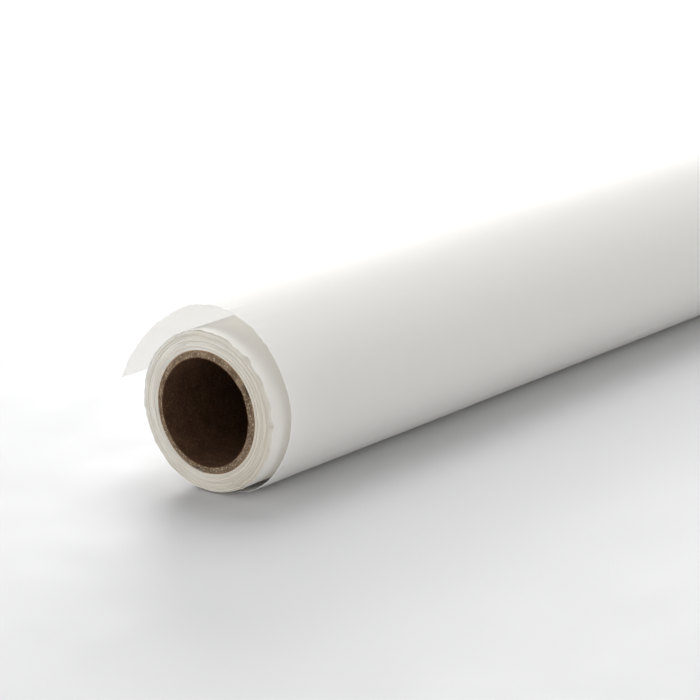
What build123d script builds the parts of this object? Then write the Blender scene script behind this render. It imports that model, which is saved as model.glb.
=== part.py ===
from build123d import *
import os
from math import asin, cos, degrees, radians, sin, sqrt

# Backdrop paper roll: a white paper web wound on a spiral-wound cardboard core, its outer turn sprung loose.
# Frame: X runs along the roll, Z is up and the origin is in the bore at half the core's length.
# -Y is the front, where the loose turn rises from the floor; it passes over the top and ends at the back.
# Cross-sections are drawn in (front, up) pairs, where front is -Y.
# A path along the web is a list of (centre, radius, first heading, last heading) arcs. Headings are in
# degrees: 0 runs forward along the floor, 90 straight up and 180 backward over the top.

# ---- driving dimensions, mm and degrees
web_width = 1350.0            # the sheet's width, which is the roll's length
core_length = 1352.0
bore_radius = 28.5            # the 57 mm bore that crossbars and end plugs are made for
liner_thickness = 0.4
body_ply_thickness = 0.62
body_ply_count = 5
end_fallback = 1.0            # how far the core's rounded end has dropped back at its outer face

pack_radius = 42.5            # the tight winding
pack_centre = (1.0, 0.1)      # the winding has slackened a little forward of the core
pack_flat = -41.9             # height of the flat that the roll's weight presses into the winding

web_thickness = 0.3           # one sheet, with the film of air beside it
layer_gap = 0.3               # between the tight winding and the turn that lies on it
seated_start = -170.0         # heading at which the outer turn begins, just behind the top
foot_bend = 20.0              # radius where that turn meets the floor
foot_end = 11.5               # how far forward of the axis the web lies flat
telescope_offset = 10.0       # how far the outer turn has slipped along the roll

# the loose turn, as (radius, turn) from its flat foot to its cut edge
loose_arcs = [(26.0, 35.0), (54.35, 25.0), (45.0, 50.0), (58.0, 40.0), (46.5, 65.0), (96.0, 31.0)]
strip_count = 20              # strips that the loose turn bends between
tail_count = 5                # the last of them, which make the free tail
strip_gap = 0.4               # clear space between two strips

tape_length = 60.0
tape_thickness = 0.15
tape_angles = (90.0, 130.0)   # headings that each piece of starting tape spans on the core
tape_places = (-520.0, 0.0, 520.0)

# ---- what follows from them
core_radius = bore_radius + 2 * liner_thickness + body_ply_count * body_ply_thickness
seated_radius = pack_radius + layer_gap + web_thickness / 2
floor_line = pack_flat - layer_gap - web_thickness / 2       # middle of the web that lies on the floor
web_start = telescope_offset - web_width / 2                 # X of the outer turn's near edge


def along_roll(x, front=0.0, up=0.0):
    """A plane across the roll, for solids that run along it."""
    return Plane(origin=(x, -front, up), z_dir=(1, 0, 0))


def section_point(centre, radius, heading, x):
    """The point of an arc where a path along it has this heading."""
    front = centre[0] + radius * sin(radians(heading))
    up = centre[1] - radius * cos(radians(heading))
    return Vector(x, -front, up)


def sheet_solid(path, x_start, length, thickness):
    """A sheet of even thickness whose middle follows the path, running along the roll from x_start."""
    outer, inner = [], []
    for centre, radius, first, last in path:
        headings = (first, (first + last) / 2, last)
        outer.append([section_point(centre, radius + thickness / 2, h, x_start) for h in headings])
        inner.append([section_point(centre, radius - thickness / 2, h, x_start) for h in headings])
    edges = [Edge.make_three_point_arc(*points) for points in outer + inner]
    edges.append(Edge.make_line(outer[0][0], inner[0][0]))
    edges.append(Edge.make_line(outer[-1][2], inner[-1][2]))
    return Solid.extrude(Face(Wire(edges)), Vector(length, 0, 0))


def web_solid(path):
    return sheet_solid(path, web_start, web_width, web_thickness)


def loose_path():
    """The loose turn, from the end of its flat foot to the cut edge."""
    front, up, heading = foot_end, floor_line, 0.0
    path = []
    for radius, turn in loose_arcs:
        centre = (front - radius * sin(radians(heading)), up + radius * cos(radians(heading)))
        heading += turn
        path.append((centre, radius, heading - turn, heading))
        end = section_point(centre, radius, heading, 0)
        front, up = -end.Y, end.Z
    return path


def arc_length(arc):
    return arc[1] * radians(arc[3] - arc[2])


def stretch(path, start, end):
    """The part of a path between two distances along it."""
    cut, run = [], 0.0
    for arc in path:
        centre, radius, first, _ = arc
        low = max(start - run, 0.0)
        high = min(end - run, arc_length(arc))
        if high > low:
            cut.append((centre, radius, first + degrees(low / radius), first + degrees(high / radius)))
        run += arc_length(arc)
    return cut


def core_end(radius):
    """X of the core's end face at a radius: the cut end is rounded over towards the outside."""
    share = (radius - bore_radius) / (core_radius - bore_radius)
    return core_length / 2 - end_fallback * share**2


def core_ply(inner, outer):
    """One ply of the core: a tube whose ends follow the rounded cut."""
    profile = Polyline(
        (-core_end(inner), 0, inner),
        (core_end(inner), 0, inner),
        (core_end(outer), 0, outer),
        (-core_end(outer), 0, outer),
        close=True,
    )
    return Solid.revolve(Face(Wire(profile.edges())), 360, Axis.X)


def core():
    """The core's plies from the bore outwards, as names and tubes."""
    body_names = [f"core_body_ply_{n}" for n in range(1, body_ply_count + 1)]
    plies, inner = {}, bore_radius
    for name in ["core_inner_liner", *body_names, "core_outer_liner"]:
        outer = inner + (body_ply_thickness if name in body_names else liner_thickness)
        plies[name] = core_ply(inner, outer)
        inner = outer
    return plies


def start_tape():
    """The pieces of tape that hold the web's first edge to the core."""
    arc = ((0.0, 0.0), core_radius + tape_thickness / 2, *tape_angles)
    return [sheet_solid([arc], place - tape_length / 2, tape_length, tape_thickness) for place in tape_places]


def wound_paper(tapes):
    """The tight winding: round outside, pressed flat where it lies, with room for the tape round the core."""
    winding = Solid.make_cylinder(pack_radius, web_width, along_roll(-web_width / 2, *pack_centre))
    bore = Solid.make_cylinder(core_radius, web_width, along_roll(-web_width / 2))
    side = 4 * pack_radius
    under_flat = Pos(0, 0, pack_flat - side / 2) * Box(2 * web_width, side, side)
    winding = winding - bore - under_flat
    for tape in tapes:
        winding = winding - tape
    return winding


def seated_turn_and_foot():
    """The outer turn where it still lies on the winding, and its foot: the bend onto the floor, the flat
    that the roll stands on, and the start of the rise up to the first bending line."""
    bend_up = floor_line + foot_bend
    between_centres = seated_radius - foot_bend
    bend_back = sqrt(between_centres**2 - (pack_centre[1] - bend_up) ** 2)
    bend_front = pack_centre[0] - bend_back
    bend_heading = -degrees(asin(bend_back / between_centres))
    seated = web_solid([(pack_centre, seated_radius, seated_start, bend_heading)])

    bend = web_solid([((bend_front, bend_up), foot_bend, bend_heading, 0.0)])
    middle = Pos(web_start + web_width / 2, -(bend_front + foot_end) / 2, floor_line)
    flat = middle * Box(web_width, foot_end - bend_front, web_thickness)
    rise = web_solid(stretch(loose_path(), 0.0, (strip_pitch() - strip_gap) / 2))
    return seated, bend + flat + rise


def strip_pitch():
    """Spacing of the bending lines: the first is half a pitch up from the foot."""
    return sum(arc_length(arc) for arc in loose_path()) / (strip_count + 0.5)


def strips():
    """The loose turn's strips from the foot to the cut edge, as names and solids."""
    path, pitch = loose_path(), strip_pitch()
    found = {}
    for n in range(1, strip_count + 1):
        start = (n - 0.5) * pitch + strip_gap / 2
        end = (n + 0.5) * pitch - (strip_gap / 2 if n < strip_count else 0.0)
        tail_number = n - (strip_count - tail_count)
        name = f"tail_strip_{tail_number}" if tail_number > 0 else f"loose_strip_{n:02d}"
        found[name] = web_solid(stretch(path, start, end))
    return found


def export_all():
    tapes = start_tape()
    parts = core()
    parts["start_tape"] = Compound(children=tapes)
    parts["wound_paper"] = wound_paper(tapes)
    parts["seated_turn"], parts["web_foot"] = seated_turn_and_foot()
    parts.update(strips())
    os.makedirs("parts", exist_ok=True)
    for name, shape in parts.items():
        export_step(shape, f"parts/{name}.step")


export_all()
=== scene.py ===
"""Backdrop paper roll: the look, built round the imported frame. Lengths are in mm and angles in degrees, and
become metres where a mesh is made; lights, camera and floor are placed in metres. A place across the roll is
a pair (front, up), with front = -Y."""
import math

import bpy
import numpy as np
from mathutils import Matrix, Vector


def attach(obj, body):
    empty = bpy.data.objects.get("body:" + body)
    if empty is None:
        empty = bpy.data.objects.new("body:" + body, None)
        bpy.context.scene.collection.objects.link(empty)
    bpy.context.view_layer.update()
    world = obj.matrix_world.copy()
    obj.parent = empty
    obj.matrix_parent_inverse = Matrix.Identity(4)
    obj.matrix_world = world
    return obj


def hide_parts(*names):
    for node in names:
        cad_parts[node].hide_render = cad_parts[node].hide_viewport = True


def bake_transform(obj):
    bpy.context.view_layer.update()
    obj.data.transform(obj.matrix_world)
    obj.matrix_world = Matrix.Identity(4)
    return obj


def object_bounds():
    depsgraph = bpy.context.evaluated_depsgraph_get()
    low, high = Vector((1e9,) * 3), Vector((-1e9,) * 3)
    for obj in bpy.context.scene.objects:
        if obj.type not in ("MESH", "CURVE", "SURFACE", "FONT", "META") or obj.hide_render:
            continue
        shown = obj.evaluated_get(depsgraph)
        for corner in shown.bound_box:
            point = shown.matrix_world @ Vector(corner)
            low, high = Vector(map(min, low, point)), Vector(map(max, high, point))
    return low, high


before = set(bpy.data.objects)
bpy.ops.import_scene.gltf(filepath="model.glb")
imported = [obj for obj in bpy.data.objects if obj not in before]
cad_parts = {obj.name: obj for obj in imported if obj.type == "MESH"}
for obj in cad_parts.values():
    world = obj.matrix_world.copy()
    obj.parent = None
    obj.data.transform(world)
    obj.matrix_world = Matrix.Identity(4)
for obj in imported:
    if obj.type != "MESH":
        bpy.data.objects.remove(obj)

CAD_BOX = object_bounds()
MM = 0.001                     # one millimetre, in metres

# ---- the part's own dimensions
WEB_WIDTH = 1350.0
BORE_R = 28.5
LINER, BOARD, BOARD_COUNT = 0.4, 0.62, 5
CORE_R = BORE_R + 2 * LINER + BOARD_COUNT * BOARD
CORE_HALF = 676.0
CORE_FALLBACK = 1.0
PACK_CENTRE = (1.0, 0.1)
SEATED_R, SEATED_START = 42.95, -170.0
PACK_FLAT = -41.9
FLOOR_LINE = PACK_FLAT - 0.45
FOOT_BEND, FOOT_END = 20.0, 11.5
TELESCOPE = 10.0
TAIL_SKEW = 4.6                # how far the cut end has swung back along the roll
LOOSE_ARCS = ((26.0, 35), (54.35, 25), (45.0, 50), (58.0, 40), (46.5, 65), (96.0, 31))
LOOSE_COUNT, TAIL_COUNT = 15, 5
STRIPS = LOOSE_COUNT + TAIL_COUNT

# ---- how the paper is shown
SHEET = 0.2                    # thickness of the web
TURN_SHEET = 0.195             # thickness of a tight turn, which leaves a hair of air between turns
TURNS, TURN_STEPS = 46, 120    # tight turns, and mesh steps round each
PACK_OUT = 42.4                # middle of the outermost tight turn
FIRST_GAP = 0.12               # from the core to the middle of the first turn

# ---- the studio, in metres and radians
FLOOR_MIDDLE, FLOOR_SIZE, FLOOR_GAP = (2.5, 2.0), 14.0, 0.00002
EYE, EYE_TURN, EYE_DOWN = (-1.8153, -0.9856, 0.4650), math.radians(38.05), math.radians(16.01)


# ---------------------------------------------------------------- smooth, repeatable noise

def waves(count, shortest, longest, seed):
    """Sine waves with lengths between two limits, as (number of waves, 3) of frequency, phase and share."""
    rng = np.random.default_rng(seed)
    length = np.exp(rng.uniform(np.log(shortest), np.log(longest), count))
    share = np.sqrt(length / longest)
    share = share / np.sqrt((share**2).sum())
    return np.stack([2 * np.pi / length, rng.uniform(0, 2 * np.pi, count), share], 1)


def ripple(u, table):
    """A smooth random line of about unit height, at places u."""
    u = np.asarray(u, float)
    return sum(share * 1.4 * np.sin(freq * u + phase) for freq, phase, share in table)


def smooth(a, b, v):
    """0 below a, 1 above b, with a soft start and stop."""
    t = np.clip((np.asarray(v, float) - a) / (b - a), 0, 1)
    return t * t * (3 - 2 * t)


# ---------------------------------------------------------------- the line that the web follows

def web_path():
    """The web's middle line as (start, length, centre, radius, heading), radius 0 for the flat foot.
    Distance along it is counted from the front end of the flat foot."""
    between = SEATED_R - FOOT_BEND
    bend_up = FLOOR_LINE + FOOT_BEND
    back = math.sqrt(between**2 - (PACK_CENTRE[1] - bend_up) ** 2)
    bend_front = PACK_CENTRE[0] - back
    bend_heading = -math.degrees(math.asin(back / between))
    flat = FOOT_END - bend_front
    bend = FOOT_BEND * math.radians(-bend_heading)
    seated = SEATED_R * math.radians(bend_heading - SEATED_START)
    path = [
        (-flat - bend - seated, seated, PACK_CENTRE, SEATED_R, SEATED_START),
        (-flat - bend, bend, (bend_front, bend_up), FOOT_BEND, bend_heading),
        (-flat, flat, (bend_front, FLOOR_LINE), 0.0, 0.0),
    ]
    front, up, heading, run = FOOT_END, FLOOR_LINE, 0.0, 0.0
    for radius, turn in LOOSE_ARCS:
        h = math.radians(heading)
        centre = (front - radius * math.sin(h), up + radius * math.cos(h))
        length = radius * math.radians(turn)
        path.append((run, length, centre, radius, heading))
        heading += turn
        run += length
        h = math.radians(heading)
        front, up = centre[0] + radius * math.sin(h), centre[1] - radius * math.cos(h)
    return path


PATH = web_path()
WEB_END = PATH[-1][0] + PATH[-1][1]
PITCH = WEB_END / (STRIPS + 0.5)
BEND_START = PATH[1][0]
SEATED_FROM = PATH[0][0]
SEATED_HEADING = math.radians(SEATED_START)


def web_at(s):
    """(front, up, heading in radians) of the web's middle line at distances s along it."""
    s = np.asarray(s, float)
    front, up, head = np.zeros_like(s), np.zeros_like(s), np.zeros_like(s)
    for start, _, centre, radius, heading in PATH:
        here = s >= start - 1e-9
        if radius:
            h = math.radians(heading) + (s - start) / radius
            f, u = centre[0] + radius * np.sin(h), centre[1] - radius * np.cos(h)
        else:
            h, f, u = np.zeros_like(s), centre[0] + (s - start), np.full_like(s, centre[1])
        front, up, head = np.where(here, f, front), np.where(here, u, up), np.where(here, h, head)
    return front, up, head


# ---------------------------------------------------------------- the web's small unevenness

EDGE_WAVES = waves(9, 5.0, 26.0, 11)
EDGE_FINE = waves(8, 1.6, 4.5, 12)
CUT_WAVES = waves(10, 3.0, 40.0, 13)
FAR_WAVES = waves(9, 5.0, 30.0, 14)
LONG_WAVES = waves(6, 170.0, 520.0, 15)
NIBBLE_WAVES = waves(16, 2.0, 26.0, 16)
RAGGED_ALONG, RAGGED_OUT = 0.42, 0.17  # how far the outer turns' rim wanders along the roll, and outwards
# place, width and depth of each nick in the near edge
NICKS = ((104.6, 1.5, 0.6), (116.6, 1.6, 0.6), (131.0, 0.7, 0.3), (151.5, 0.8, 0.3))


def slip(s):
    """How far the web has slipped along the roll: none at the start of the outer turn, all of it from the
    foot on, and less again at the cut end, which has swung back."""
    return TELESCOPE * smooth(BEND_START - 58.0, BEND_START, s) - TAIL_SKEW * smooth(150.0, 200.0, s)


def nibble(angle):
    """The ragged rim of the outermost turns, -1..1 or so, by the heading of the web in radians."""
    return ripple(np.degrees(angle) % 360.0, NIBBLE_WAVES)


def seated_nibble(s):
    """The same rim, by distance along the seated web."""
    return nibble(SEATED_HEADING + (s - SEATED_FROM) / SEATED_R)


def near_edge(s):
    """X of the web's near edge."""
    worn = smooth(-70.0, -25.0, -np.asarray(s, float))
    wander = (0.12 + 0.18 * worn) * ripple(s, CUT_WAVES)
    wander = wander + (0.09 + 0.05 * worn) * ripple(s, EDGE_FINE)
    nick = sum(depth * np.exp(-(((s - place) / width) ** 2)) for place, width, depth in NICKS)
    ragged = RAGGED_ALONG * seated_nibble(s)
    ragged = ragged * (1 - smooth(BEND_START - 60, BEND_START - 20, s))
    return -WEB_WIDTH / 2 + slip(s) + wander + nick + ragged


def far_edge(s):
    return WEB_WIDTH / 2 + slip(s) + 0.2 * ripple(s, FAR_WAVES)


def relief(s, near, far, x):
    """How far the sheet stands off its middle line: crimped edges, and a slow unevenness along the roll."""
    free = smooth(2.0, 22.0, s)
    held = 1 - smooth(BEND_START - 12.0, BEND_START - 2.0, s)
    crimp = 0.09 * ripple(s, EDGE_WAVES) + 0.02 * ripple(s, EDGE_FINE)
    top = 1 + 0.8 * np.exp(-(((s - 138.0) / 24.0) ** 2))
    sag = -0.9 * np.exp(-(((s - 142.0) / 36.0) ** 2))
    crimp_far = 0.3 * ripple(s, FAR_WAVES)
    at_edge = crimp * top * np.exp(-near / 6.5) + crimp_far * np.exp(-far / 6.5)
    slow = 0.22 * ripple(x, LONG_WAVES) * np.sin(s / 31.0)
    rim = 0.07 * ripple(s, EDGE_FINE) + RAGGED_OUT * seated_nibble(s)
    seated = rim * np.exp(-near / 3.0)
    return free * (at_edge + slow + sag) + held * seated


# ---------------------------------------------------------------- meshes

def columns():
    """Places along the roll, from the near edge, close together at both edges."""
    near = [0, 0.3, 0.8, 1.5, 2.5, 4, 6, 9, 13, 19, 28, 42, 62, 90]
    middle = list(np.linspace(130, WEB_WIDTH - 130, 24))
    return np.array(near + middle + [WEB_WIDTH - c for c in reversed(near)], float)


def new_object(name, verts, faces, material, crease=38.0):
    mesh = bpy.data.meshes.new(name)
    mesh.from_pydata([tuple(v) for v in np.asarray(verts) * MM], [], [tuple(f) for f in faces])
    mesh.validate()
    mesh.polygons.foreach_set("use_smooth", [True] * len(mesh.polygons))
    mesh.set_sharp_from_angle(angle=math.radians(crease))
    mesh.materials.append(material)
    mesh.update()
    piece = bpy.data.objects.new(name, mesh)
    bpy.context.scene.collection.objects.link(piece)
    return piece


def slab_faces(rows, cols):
    """Faces of a closed sheet: its outer points come first, then its inner points, in rows of cols points."""
    index = np.arange(rows * cols).reshape(rows, cols)
    a, b, c, d = index[:-1, :-1], index[1:, :-1], index[1:, 1:], index[:-1, 1:]
    outer = np.stack([a, d, c, b], -1).reshape(-1, 4)
    inner = np.stack([a, b, c, d], -1).reshape(-1, 4) + rows * cols
    rim = np.concatenate([index[0, :], index[1:, -1], index[-1, -2::-1], index[-2:0:-1, 0]])
    after = np.roll(rim, -1)
    side = np.stack([rim, rim + rows * cols, after + rows * cols, after], -1)
    return np.concatenate([outer, inner, side]).tolist()


def slab(name, front, up, out_front, out_up, x, thickness, material):
    """A closed sheet: grids of its middle points, and of the direction that its outside faces."""
    half = thickness / 2
    sides = [(x, -(front + k * half * out_front), up + k * half * out_up) for k in (1, -1)]
    layers = [np.stack([np.broadcast_to(v, x.shape).ravel() for v in side], 1) for side in sides]
    return new_object(name, np.concatenate(layers), slab_faces(*x.shape), material)


def web_piece(name, rows, material):
    """The part of the web between the first and last of rows, which are distances along it."""
    s = np.asarray(rows, float)[:, None]
    c = columns()[None, :]
    start, end = near_edge(s), far_edge(s)
    plain = -WEB_WIDTH / 2 + slip(s) + c
    x = plain + (start - plain[:, :1]) * np.exp(-c / 4)
    x = x + (end - plain[:, -1:]) * np.exp(-(WEB_WIDTH - c) / 4)
    front, up, head = web_at(s)
    out_front, out_up = np.sin(head), -np.cos(head)
    lift = relief(s, c, WEB_WIDTH - c, plain)
    return slab(name, front + lift * out_front, up + lift * out_up, out_front, out_up, x, SHEET, material)


def row_places(start, end, step):
    """Rows from start to end, with a narrow one at each border, so that neighbours' shading meets."""
    length = end - start
    margin = 0.1 * min(step, length)
    inner = np.linspace(start + margin, end - margin, max(2, round(length / step)))
    extra = [p + k * w for p, w, _ in NICKS for k in (-1.6, -0.9, -0.4, 0, 0.4, 0.9, 1.6)]
    extra = [p for p in extra if start + 0.2 < p < end - 0.2]
    rows = np.unique(np.round(np.concatenate([inner, extra]), 4))
    keep = [rows[0]]
    for r in rows[1:]:
        if r - keep[-1] > 0.12:
            keep.append(r)
    return np.concatenate([[start, start + 0.02], keep, [end - 0.02, end]])


# ---------------------------------------------------------------- the tight winding

TURN_WAVES = waves(12, 0.6, 9.0, 21)
GROUP_WAVES = waves(6, 5.0, 22.0, 22)
FINE_WAVES = waves(14, 0.05, 0.5, 23)
FAR_TURN_WAVES = waves(12, 0.6, 9.0, 24)
GAP_WAVES = waves(8, 1.2, 5.0, 25)


def pressed(up):
    """The winding is pressed flat where it lies: low places are squeezed up to the flat."""
    soft, lowest = -38.0, PACK_CENTRE[1] + 0.05 - PACK_OUT
    share = (PACK_FLAT + 0.1 - soft) / (lowest - soft)
    return np.where(up < soft, soft + (up - soft) * share, up)


def wound_web(material):
    """One long sheet wound from the core outwards, with ends that wander a little from turn to turn."""
    last = (360.0 + SEATED_START) / 360.0 + TURNS
    turn = np.linspace(0.0, last, round(TURN_STEPS * last) + 1)[:, None]
    share = turn / last
    uneven = 0.035 * ripple(turn, GAP_WAVES) * share * (1 - share)
    radius = CORE_R + FIRST_GAP + (PACK_OUT - CORE_R - FIRST_GAP) * share + uneven
    radius = radius + (SEATED_R - PACK_OUT) * smooth(last - 0.12, last, turn)
    centre_front, centre_up = PACK_CENTRE[0] * share**2, (PACK_CENTRE[1] + 0.05) * share**2
    angle = 2 * np.pi * (turn - last) + math.radians(SEATED_START)
    edge = np.array([0, 0.7, 3.5, 14.0])
    c = np.concatenate([edge, WEB_WIDTH - edge[::-1]])[None, :]
    near = 0.30 * ripple(turn, GROUP_WAVES) + 0.20 * ripple(turn, TURN_WAVES)
    near = near + 0.08 * ripple(turn, FINE_WAVES)
    far = 0.45 * ripple(turn, GROUP_WAVES[::-1] + 0.3) + 0.24 * ripple(turn, FAR_TURN_WAVES)
    settle = 1 - smooth(last - 0.6, last, turn)
    outer = smooth(0.75, 0.97, share)
    near = near * settle + RAGGED_ALONG * outer * nibble(angle)
    x = -WEB_WIDTH / 2 + c + near * np.exp(-c / 5) + far * settle * np.exp(-(WEB_WIDTH - c) / 5)
    frill = 0.05 * ripple(turn * 6.0, TURN_WAVES) * np.exp(-c / 2.0) * smooth(0.0, 3.0, last - turn)
    radius = radius + frill + RAGGED_OUT * nibble(angle) * outer * np.exp(-c / 3.0)
    out_front, out_up = np.sin(angle), -np.cos(angle)
    front = centre_front + radius * out_front
    up = pressed(centre_up + radius * out_up)
    return slab("wound_web", front, up, out_front, out_up, x, TURN_SHEET, material)


# ---------------------------------------------------------------- the core

PLY_END_WAVES = waves(16, 2.0, 40.0, 31)
KNOCK, TORN = (31.0, 6.0), (-100.0, 3.0)       # angle and width of the two damaged places


def core_end(radius):
    """How far out the core's end is at a radius: it falls back a little towards the outside."""
    share = (radius - BORE_R) / (CORE_R - BORE_R)
    return CORE_HALF - CORE_FALLBACK * share**2


def ply(name, inner, outer, seed, material, around=240):
    """One ply of the core: a tube with a saw-cut, slightly fuzzy end."""
    angle = np.linspace(0, 2 * np.pi, around, endpoint=False)
    rng = np.random.default_rng(seed)
    middle = (inner + outer) / 2
    run = [0, 0.25, 0.8, 3.0, 40.0, 330.0]
    rings = []
    for side in (-1, 1):
        fuzz = {r: 0.10 * ripple(angle * r, PLY_END_WAVES + [0, seed + side, 0]) + rng.normal(0, 0.05, around)
                for r in (inner, middle, outer)}
        dent, nick = bruises(angle, side)
        for r in (inner, middle, outer):
            deep = (r - BORE_R) / (CORE_R - BORE_R)
            back = dent * smooth(0.25, 0.8, deep) * 3.0 + nick * smooth(0.45, 0.9, deep) * 3.0
            fuzz[r] = core_end(r) - 0.16 + np.clip(2 * fuzz[r], -0.5, 0.15) - back
        faces_run = run if side < 0 else run[::-1]
        inside = [(side * (fuzz[inner] - d), inner + 0 * angle) for d in faces_run]
        worn = (0.9 * dent + 0.5 * nick) * smooth(0.4, 1, (outer - BORE_R) / (CORE_R - BORE_R))
        outside = [(side * (fuzz[outer] - d), outer - worn * math.exp(-d / 3)) for d in faces_run]
        face = (side * (fuzz[middle] + 0.03), middle + 0 * angle)
        rings.append((inside, outside, face))
    (in_near, out_near, face_near), (in_far, out_far, face_far) = rings
    loop = [face_near] + out_near + out_far + [face_far] + in_far[::-1] + in_near[::-1]
    verts = np.concatenate([np.stack([x, -r * np.cos(angle), r * np.sin(angle)], 1) for x, r in loop])
    count = len(loop)
    a = np.arange(count * around).reshape(count, around)
    b = np.roll(a, -1, axis=0)
    faces = np.stack([a, np.roll(a, -1, 1), np.roll(b, -1, 1), b], -1).reshape(-1, 4)
    return new_object(name, verts, faces.tolist(), material, crease=50.0)


def bruises(angle, side):
    """A knock on the outer plies and a torn nick at the bottom, both at the near end."""
    if side > 0:
        return 0 * angle, 0 * angle
    turned = np.degrees((angle + np.pi) % (2 * np.pi) - np.pi)
    return [np.exp(-(((turned - place) / width) ** 2)) for place, width in (KNOCK, TORN)]


# ---------------------------------------------------------------- materials

class Nodes:
    """A short way to write a node tree."""

    def __init__(self, name):
        self.material = bpy.data.materials.new(name)
        self.material.use_nodes = True
        self.tree = self.material.node_tree
        self.tree.nodes.clear()
        self.output = self.add("ShaderNodeOutputMaterial")
        self.shader = self.add("ShaderNodeBsdfPrincipled")
        self.link(self.shader.outputs[0], self.output.inputs["Surface"])
        self.place = self.add("ShaderNodeTexCoord").outputs["Object"]

    def add(self, kind, **settings):
        node = self.tree.nodes.new(kind)
        for key, value in settings.items():
            setattr(node, key, value)
        return node

    def link(self, a, b):
        self.tree.links.new(a, b)

    def put(self, socket, value):
        if hasattr(value, "links"):
            self.link(value, socket)
        else:
            socket.default_value = value

    def noise(self, size_mm, detail=4.0, rough=0.55, stretch=None, distort=0.0):
        place = self.place
        if stretch:
            mapping = self.add("ShaderNodeMapping")
            self.link(self.place, mapping.inputs["Vector"])
            mapping.inputs["Scale"].default_value = stretch
            place = mapping.outputs[0]
        node = self.add("ShaderNodeTexNoise")
        self.link(place, node.inputs["Vector"])
        node.inputs["Scale"].default_value = 1000.0 / size_mm
        node.inputs["Detail"].default_value = detail
        node.inputs["Roughness"].default_value = rough
        node.inputs["Distortion"].default_value = distort
        return node.outputs["Fac"]

    def ramp(self, value, low, high, out_low=0.0, out_high=1.0):
        node = self.add("ShaderNodeMapRange")
        for socket, v in zip(node.inputs[:5], (value, low, high, out_low, out_high)):
            self.put(socket, v)
        return node.outputs[0]

    def math(self, operation, a, b=0.0):
        node = self.add("ShaderNodeMath", operation=operation)
        self.put(node.inputs[0], a)
        self.put(node.inputs[1], b)
        return node.outputs[0]

    def mix(self, share, a, b):
        node = self.add("ShaderNodeMix", data_type="RGBA")
        self.put(node.inputs[0], share)
        self.put(node.inputs[6], a if hasattr(a, "links") else (*a, 1))
        self.put(node.inputs[7], b if hasattr(b, "links") else (*b, 1))
        return node.outputs[2]

    def bump(self, height, depth_mm, strength=1.0, under=None):
        node = self.add("ShaderNodeBump")
        node.inputs["Distance"].default_value = depth_mm * MM
        node.inputs["Strength"].default_value = strength
        self.put(node.inputs["Height"], height)
        if under:
            self.put(node.inputs["Normal"], under)
        return node.outputs[0]

    def finish(self, colour, rough, normal, specular=0.3):
        self.put(self.shader.inputs["Base Color"], colour)
        self.put(self.shader.inputs["Roughness"], rough)
        self.put(self.shader.inputs["Normal"], normal)
        self.shader.inputs["Specular IOR Level"].default_value = specular
        return self.material

    def let_light_through(self, share, colour, normal):
        thin = self.add("ShaderNodeBsdfTranslucent")
        thin.inputs["Color"].default_value = (*colour, 1)
        self.put(thin.inputs["Normal"], normal)
        both = self.add("ShaderNodeMixShader")
        both.inputs[0].default_value = share
        self.link(self.shader.outputs[0], both.inputs[1])
        self.link(thin.outputs[0], both.inputs[2])
        self.link(both.outputs[0], self.output.inputs["Surface"])

    def from_axis(self):
        """(place along the roll, distance from its axis, angle round it) in metres and radians."""
        apart = self.add("ShaderNodeSeparateXYZ")
        self.link(self.place, apart.inputs[0])
        y, z = apart.outputs[1], apart.outputs[2]
        radius = self.math("SQRT", self.math("ADD", self.math("MULTIPLY", y, y), self.math("MULTIPLY", z, z)))
        return apart.outputs[0], radius, self.math("ARCTAN2", z, y)


WHITE, SHADE = (0.978, 0.979, 0.979), (0.963, 0.963, 0.961)


def fibre_normal(n):
    """Uncoated paper: a felt of fibres, faint cockle, and the odd fibre lying across."""
    fine = n.noise(0.55, 6.0, 0.65)
    felt = n.noise(2.6, 3.0, 0.5)
    across = n.noise(0.9, 3.0, 0.6, stretch=(0.35, 1.6, 1.6), distort=1.5)
    rough_paper = n.bump(fine, 0.035)
    rough_paper = n.bump(across, 0.02, under=rough_paper)
    return fine, n.bump(felt, 0.03, under=rough_paper)


def paper_tone(n, fine):
    """Slow clouds and fine felt, 0 to 1, between the paper's two tones."""
    cloud = n.noise(14.0, 3.0, 0.5)
    return n.math("ADD", n.ramp(cloud, 0.3, 0.7, 0.0, 0.55), n.ramp(fine, 0.35, 0.65, 0.0, 0.45))


def web_material():
    """White paper, thin enough to let light through."""
    n = Nodes("backdrop_paper")
    fine, normal = fibre_normal(n)
    colour = n.mix(paper_tone(n, fine), SHADE, WHITE)
    n.finish(colour, n.ramp(fine, 0.3, 0.7, 0.74, 0.9), normal)
    n.let_light_through(0.50, (0.978, 0.972, 0.954), normal)
    return n.material


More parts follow.
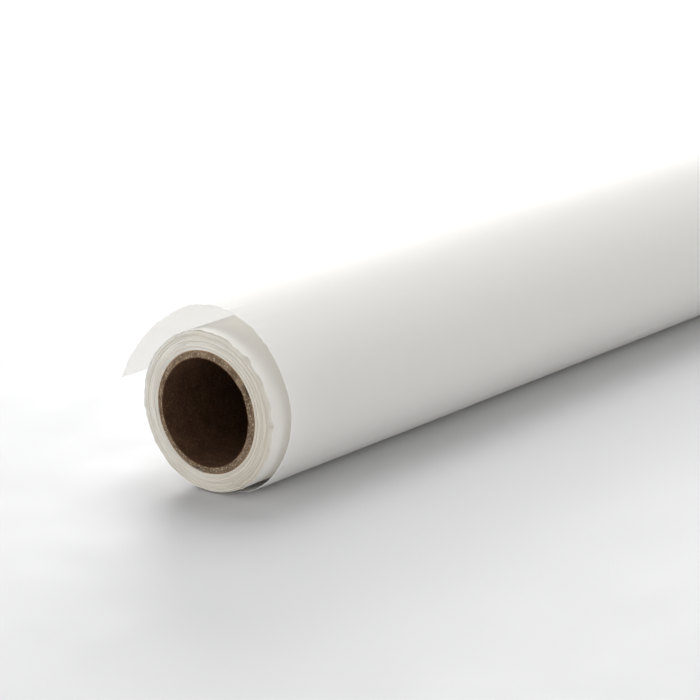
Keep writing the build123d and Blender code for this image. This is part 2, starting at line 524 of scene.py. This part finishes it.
def winding_material():
    """The same paper, with the cream of its cut edges where it is seen end on, and its sides tinted a warm
    cream as painted bounce light.
    Painted shade makes the cut edges darker and warmer towards the front and bottom."""
    n = Nodes("backdrop_paper_wound")
    fine, normal = fibre_normal(n)
    # the sides: the paper's random tone, shifted to a warm cream that is painted bounce light from the narrow
    # gaps between turns
    side = n.mix(paper_tone(n, fine), (0.952, 0.925, 0.875), (0.97, 0.945, 0.905))
    x, radius, angle = n.from_axis()
    polar = n.add("ShaderNodeCombineXYZ")
    n.put(polar.inputs[0], n.math("MULTIPLY", radius, 1000.0))
    n.put(polar.inputs[1], n.math("MULTIPLY", angle, 2.2))
    n.put(polar.inputs[2], n.math("MULTIPLY", x, 1.5))
    streak = n.add("ShaderNodeTexNoise")
    n.link(polar.outputs[0], streak.inputs["Vector"])
    streak.inputs["Scale"].default_value = 1.1
    streak.inputs["Detail"].default_value = 4.0
    cut = n.mix(n.ramp(streak.outputs["Fac"], 0.32, 0.68), (0.955, 0.90, 0.80), (0.99, 0.985, 0.94))
    facing = n.add("ShaderNodeSeparateXYZ")
    n.link(n.add("ShaderNodeTexCoord").outputs["Normal"], facing.inputs[0])
    end_on = n.ramp(n.math("ABSOLUTE", facing.outputs[0]), 0.45, 0.85)
    # painted shade: the cut edges are darkened and warmed towards the front (-Y) and the bottom, where the
    # end face lies in shade
    apart = n.add("ShaderNodeSeparateXYZ")
    n.link(n.place, apart.inputs[0])
    painted_shade_slope = n.math("ADD", apart.outputs[1], n.math("MULTIPLY", apart.outputs[2], 0.35))
    cut = n.mix(n.ramp(painted_shade_slope, -0.040, 0.015, 0.62, 0.0), cut, (0.82, 0.74, 0.62))
    n.finish(n.mix(end_on, side, cut), n.ramp(fine, 0.3, 0.7, 0.78, 0.92), normal)
    n.let_light_through(0.12, (0.97, 0.93, 0.87), normal)
    return n.material


def helix_seam(n, lead_mm, phase, width):
    """1 along the butt joint of a strip wound in a helix, 0 elsewhere."""
    x, _, angle = n.from_axis()
    along = n.math("MULTIPLY", x, 1000.0 / lead_mm)
    turns = n.math("ADD", along, n.math("MULTIPLY", angle, 1 / (2 * math.pi)))
    across = n.math("ABSOLUTE", n.math("SUBTRACT", n.math("FRACT", n.math("ADD", turns, phase)), 0.5))
    return n.ramp(across, 0.0, width / lead_mm, 1.0, 0.0)


def board_material(name, light, dark, fleck, grain_mm, lead_mm=0.0, phase=0.0):
    """Grey-brown core board: recycled fibre with pale and dark flecks, and a wound seam where it shows."""
    n = Nodes(name)
    felt = n.noise(grain_mm, 6.0, 0.7)
    long_fibre = n.noise(1.3, 4.0, 0.6, stretch=(0.4, 1.8, 1.8), distort=2.0)
    blotch = n.noise(9.0, 3.0, 0.5)
    flecks = n.ramp(n.noise(0.9, 3.0, 0.6), 0.56, 0.64)
    tone = n.math("ADD", n.ramp(felt, 0.3, 0.7, 0.0, 0.6), n.ramp(blotch, 0.35, 0.65, 0.0, 0.4))
    colour = n.mix(n.math("MULTIPLY", flecks, 0.75), n.mix(tone, dark, light), fleck)
    normal = n.bump(long_fibre, 0.05, under=n.bump(felt, 0.09))
    if lead_mm:
        seam = helix_seam(n, lead_mm, phase, 0.9)
        colour = n.mix(n.math("MULTIPLY", seam, 0.3), colour, tuple(0.45 * c for c in dark))
        normal = n.bump(n.math("MULTIPLY", seam, -1.0), 0.25, under=normal)
    n.finish(colour, n.ramp(felt, 0.3, 0.7, 0.8, 0.95), normal, specular=0.2)
    return n.material


def tape_material():
    """Kraft paper tape: brown, faintly ribbed along its length."""
    n = Nodes("kraft_tape")
    felt = n.noise(0.7, 5.0, 0.6)
    rib = n.noise(0.9, 2.0, 0.5, stretch=(0.05, 1.0, 1.0))
    colour = n.mix(n.ramp(felt, 0.3, 0.7), (0.50, 0.36, 0.22), (0.64, 0.50, 0.33))
    n.finish(colour, n.ramp(felt, 0.3, 0.7, 0.45, 0.65), n.bump(rib, 0.04, under=n.bump(felt, 0.03)))
    return n.material


def floor_material():
    n = Nodes("studio_floor")
    soft = n.noise(40.0, 3.0, 0.5)
    plain = n.mix(n.ramp(soft, 0.3, 0.7), (0.641, 0.641, 0.645), (0.651, 0.651, 0.655))
    n.finish(plain, n.ramp(soft, 0.3, 0.7, 0.62, 0.7), n.bump(soft, 0.01))
    return n.material


# ---------------------------------------------------------------- building the object

# name, light, dark and fleck colours, size of the grain, then lead and phase of the wound seam
BOARD_LOOKS = (
    ("core_liner", (0.150, 0.075, 0.038), (0.055, 0.024, 0.012), (0.21, 0.13, 0.08), 1.1),
    ("core_board", (0.40, 0.29, 0.19), (0.060, 0.034, 0.018), (0.72, 0.60, 0.46), 0.8),
    ("core_skin", (0.42, 0.27, 0.15), (0.27, 0.16, 0.08), (0.55, 0.42, 0.28), 1.0, 131.0, 0.6),
)


def build_core():
    liner, board, skin = [board_material(*look) for look in BOARD_LOOKS]
    names = [("core_inner_liner", LINER, liner, "core_liner")]
    names += [(f"core_body_ply_{k}", BOARD, board, "core_board") for k in range(1, BOARD_COUNT + 1)]
    names += [("core_outer_liner", LINER, skin, "core_skin")]
    inner = BORE_R
    for k, (node, thick, material, slot) in enumerate(names):
        piece = ply("core_tube_%d" % (k + 1), inner, inner + thick, 50 + k, material)
        inner += thick
        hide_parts(node)
        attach(piece, "roll")


def declare_web(node):
    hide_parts(node)


def build_web():
    paper = web_material()
    seated = web_piece("web_seated", row_places(SEATED_FROM, BEND_START, 1.3), paper)
    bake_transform(seated)
    declare_web("seated_turn")
    foot = web_piece("web_foot_sheet", row_places(BEND_START, 0.0, 1.3), paper)
    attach(foot, "outer_turn_foot")
    declare_web("web_foot")
    bodies = ["outer_turn_foot"] + [f"loose_bend_{k:02d}" for k in range(1, LOOSE_COUNT + 1)]
    bodies += [f"tail_bend_{k}" for k in range(1, TAIL_COUNT + 1)]
    nodes = [b.replace("bend", "strip") for b in bodies]
    for k in range(1, STRIPS + 1):
        start, end = (k - 1) * PITCH, (k if k < STRIPS else k + 0.5) * PITCH
        piece = web_piece(f"web_bend_{k:02d}", row_places(start, end, 1.1), paper)
        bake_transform(piece)
        declare_web(nodes[k])


def build_winding():
    piece = wound_web(winding_material())
    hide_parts("wound_paper")
    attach(piece, "roll")


def finish_tape():
    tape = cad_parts["start_tape"]
    material = tape_material()
    if not tape.material_slots:
        tape.data.materials.append(material)
    for slot in tape.material_slots:
        slot.material = material


# ---------------------------------------------------------------- the studio

def floor(level):
    place = (*FLOOR_MIDDLE, level)
    bpy.ops.mesh.primitive_grid_add(x_subdivisions=8, y_subdivisions=8, size=FLOOR_SIZE, location=place)
    ground = bpy.context.object
    ground.name = "studio_floor"
    ground.data.materials.append(floor_material())


def area_light(name, place, aim, size, power, colour):
    data = bpy.data.lights.new(name, "AREA")
    data.shape, data.size, data.size_y = "RECTANGLE", size[0], size[1]
    data.energy, data.color = power, colour
    light = bpy.data.objects.new(name, data)
    light.location = place
    light.rotation_euler = (Vector(aim) - Vector(place)).to_track_quat("-Z", "Y").to_euler()
    bpy.context.scene.collection.objects.link(light)


def lights():
    area_light("overhead", (0.95, 1.0, 2.55), (-0.3, 0.0, 0.0), (2.2, 2.2), 57.0, (1.0, 1.0, 1.0))
    area_light("low_behind", (2.3, 2.0, 0.98), (-0.4, 0.0, 0.0), (2.0, 1.1), 91.0, (1.0, 1.0, 1.0))
    area_light("end_fill", (-2.9, 0.4, 0.36), (-0.68, 0.0, 0.04), (1.0, 0.5), 10.2, (1.0, 0.985, 0.965))
    area_light("front_fill", (0.2, -3.0, 0.4), (0.0, 0.0, 0.0), (3.2, 0.7), 10.8, (1.0, 0.992, 0.98))
    world = bpy.data.worlds.new("studio_air")
    world.use_nodes = True
    air = world.node_tree.nodes["Background"]
    air.inputs[0].default_value = (0.992, 0.996, 1.0, 1)
    air.inputs[1].default_value = 0.60
    bpy.context.scene.world = world
    bpy.context.scene.view_settings.view_transform = "Standard"
    bpy.context.scene.cycles.diffuse_bounces = 8


def camera():
    data = bpy.data.cameras.new("photo_view")
    data.lens, data.sensor_width = 159.3, 36.0
    data.clip_start, data.clip_end = 0.05, 40.0
    eye = bpy.data.objects.new("photo_view", data)
    along, down = math.cos(EYE_DOWN), math.sin(EYE_DOWN)
    ahead = Vector((along * math.cos(EYE_TURN), along * math.sin(EYE_TURN), -down))
    eye.location = EYE
    eye.rotation_euler = ahead.to_track_quat("-Z", "Y").to_euler()
    bpy.context.scene.collection.objects.link(eye)
    bpy.context.scene.camera = eye


camera()
build_core()
build_winding()
build_web()
finish_tape()
floor(min(CAD_BOX[0][2], FLOOR_LINE * MM - SHEET / 2 * MM) - FLOOR_GAP)
lights()
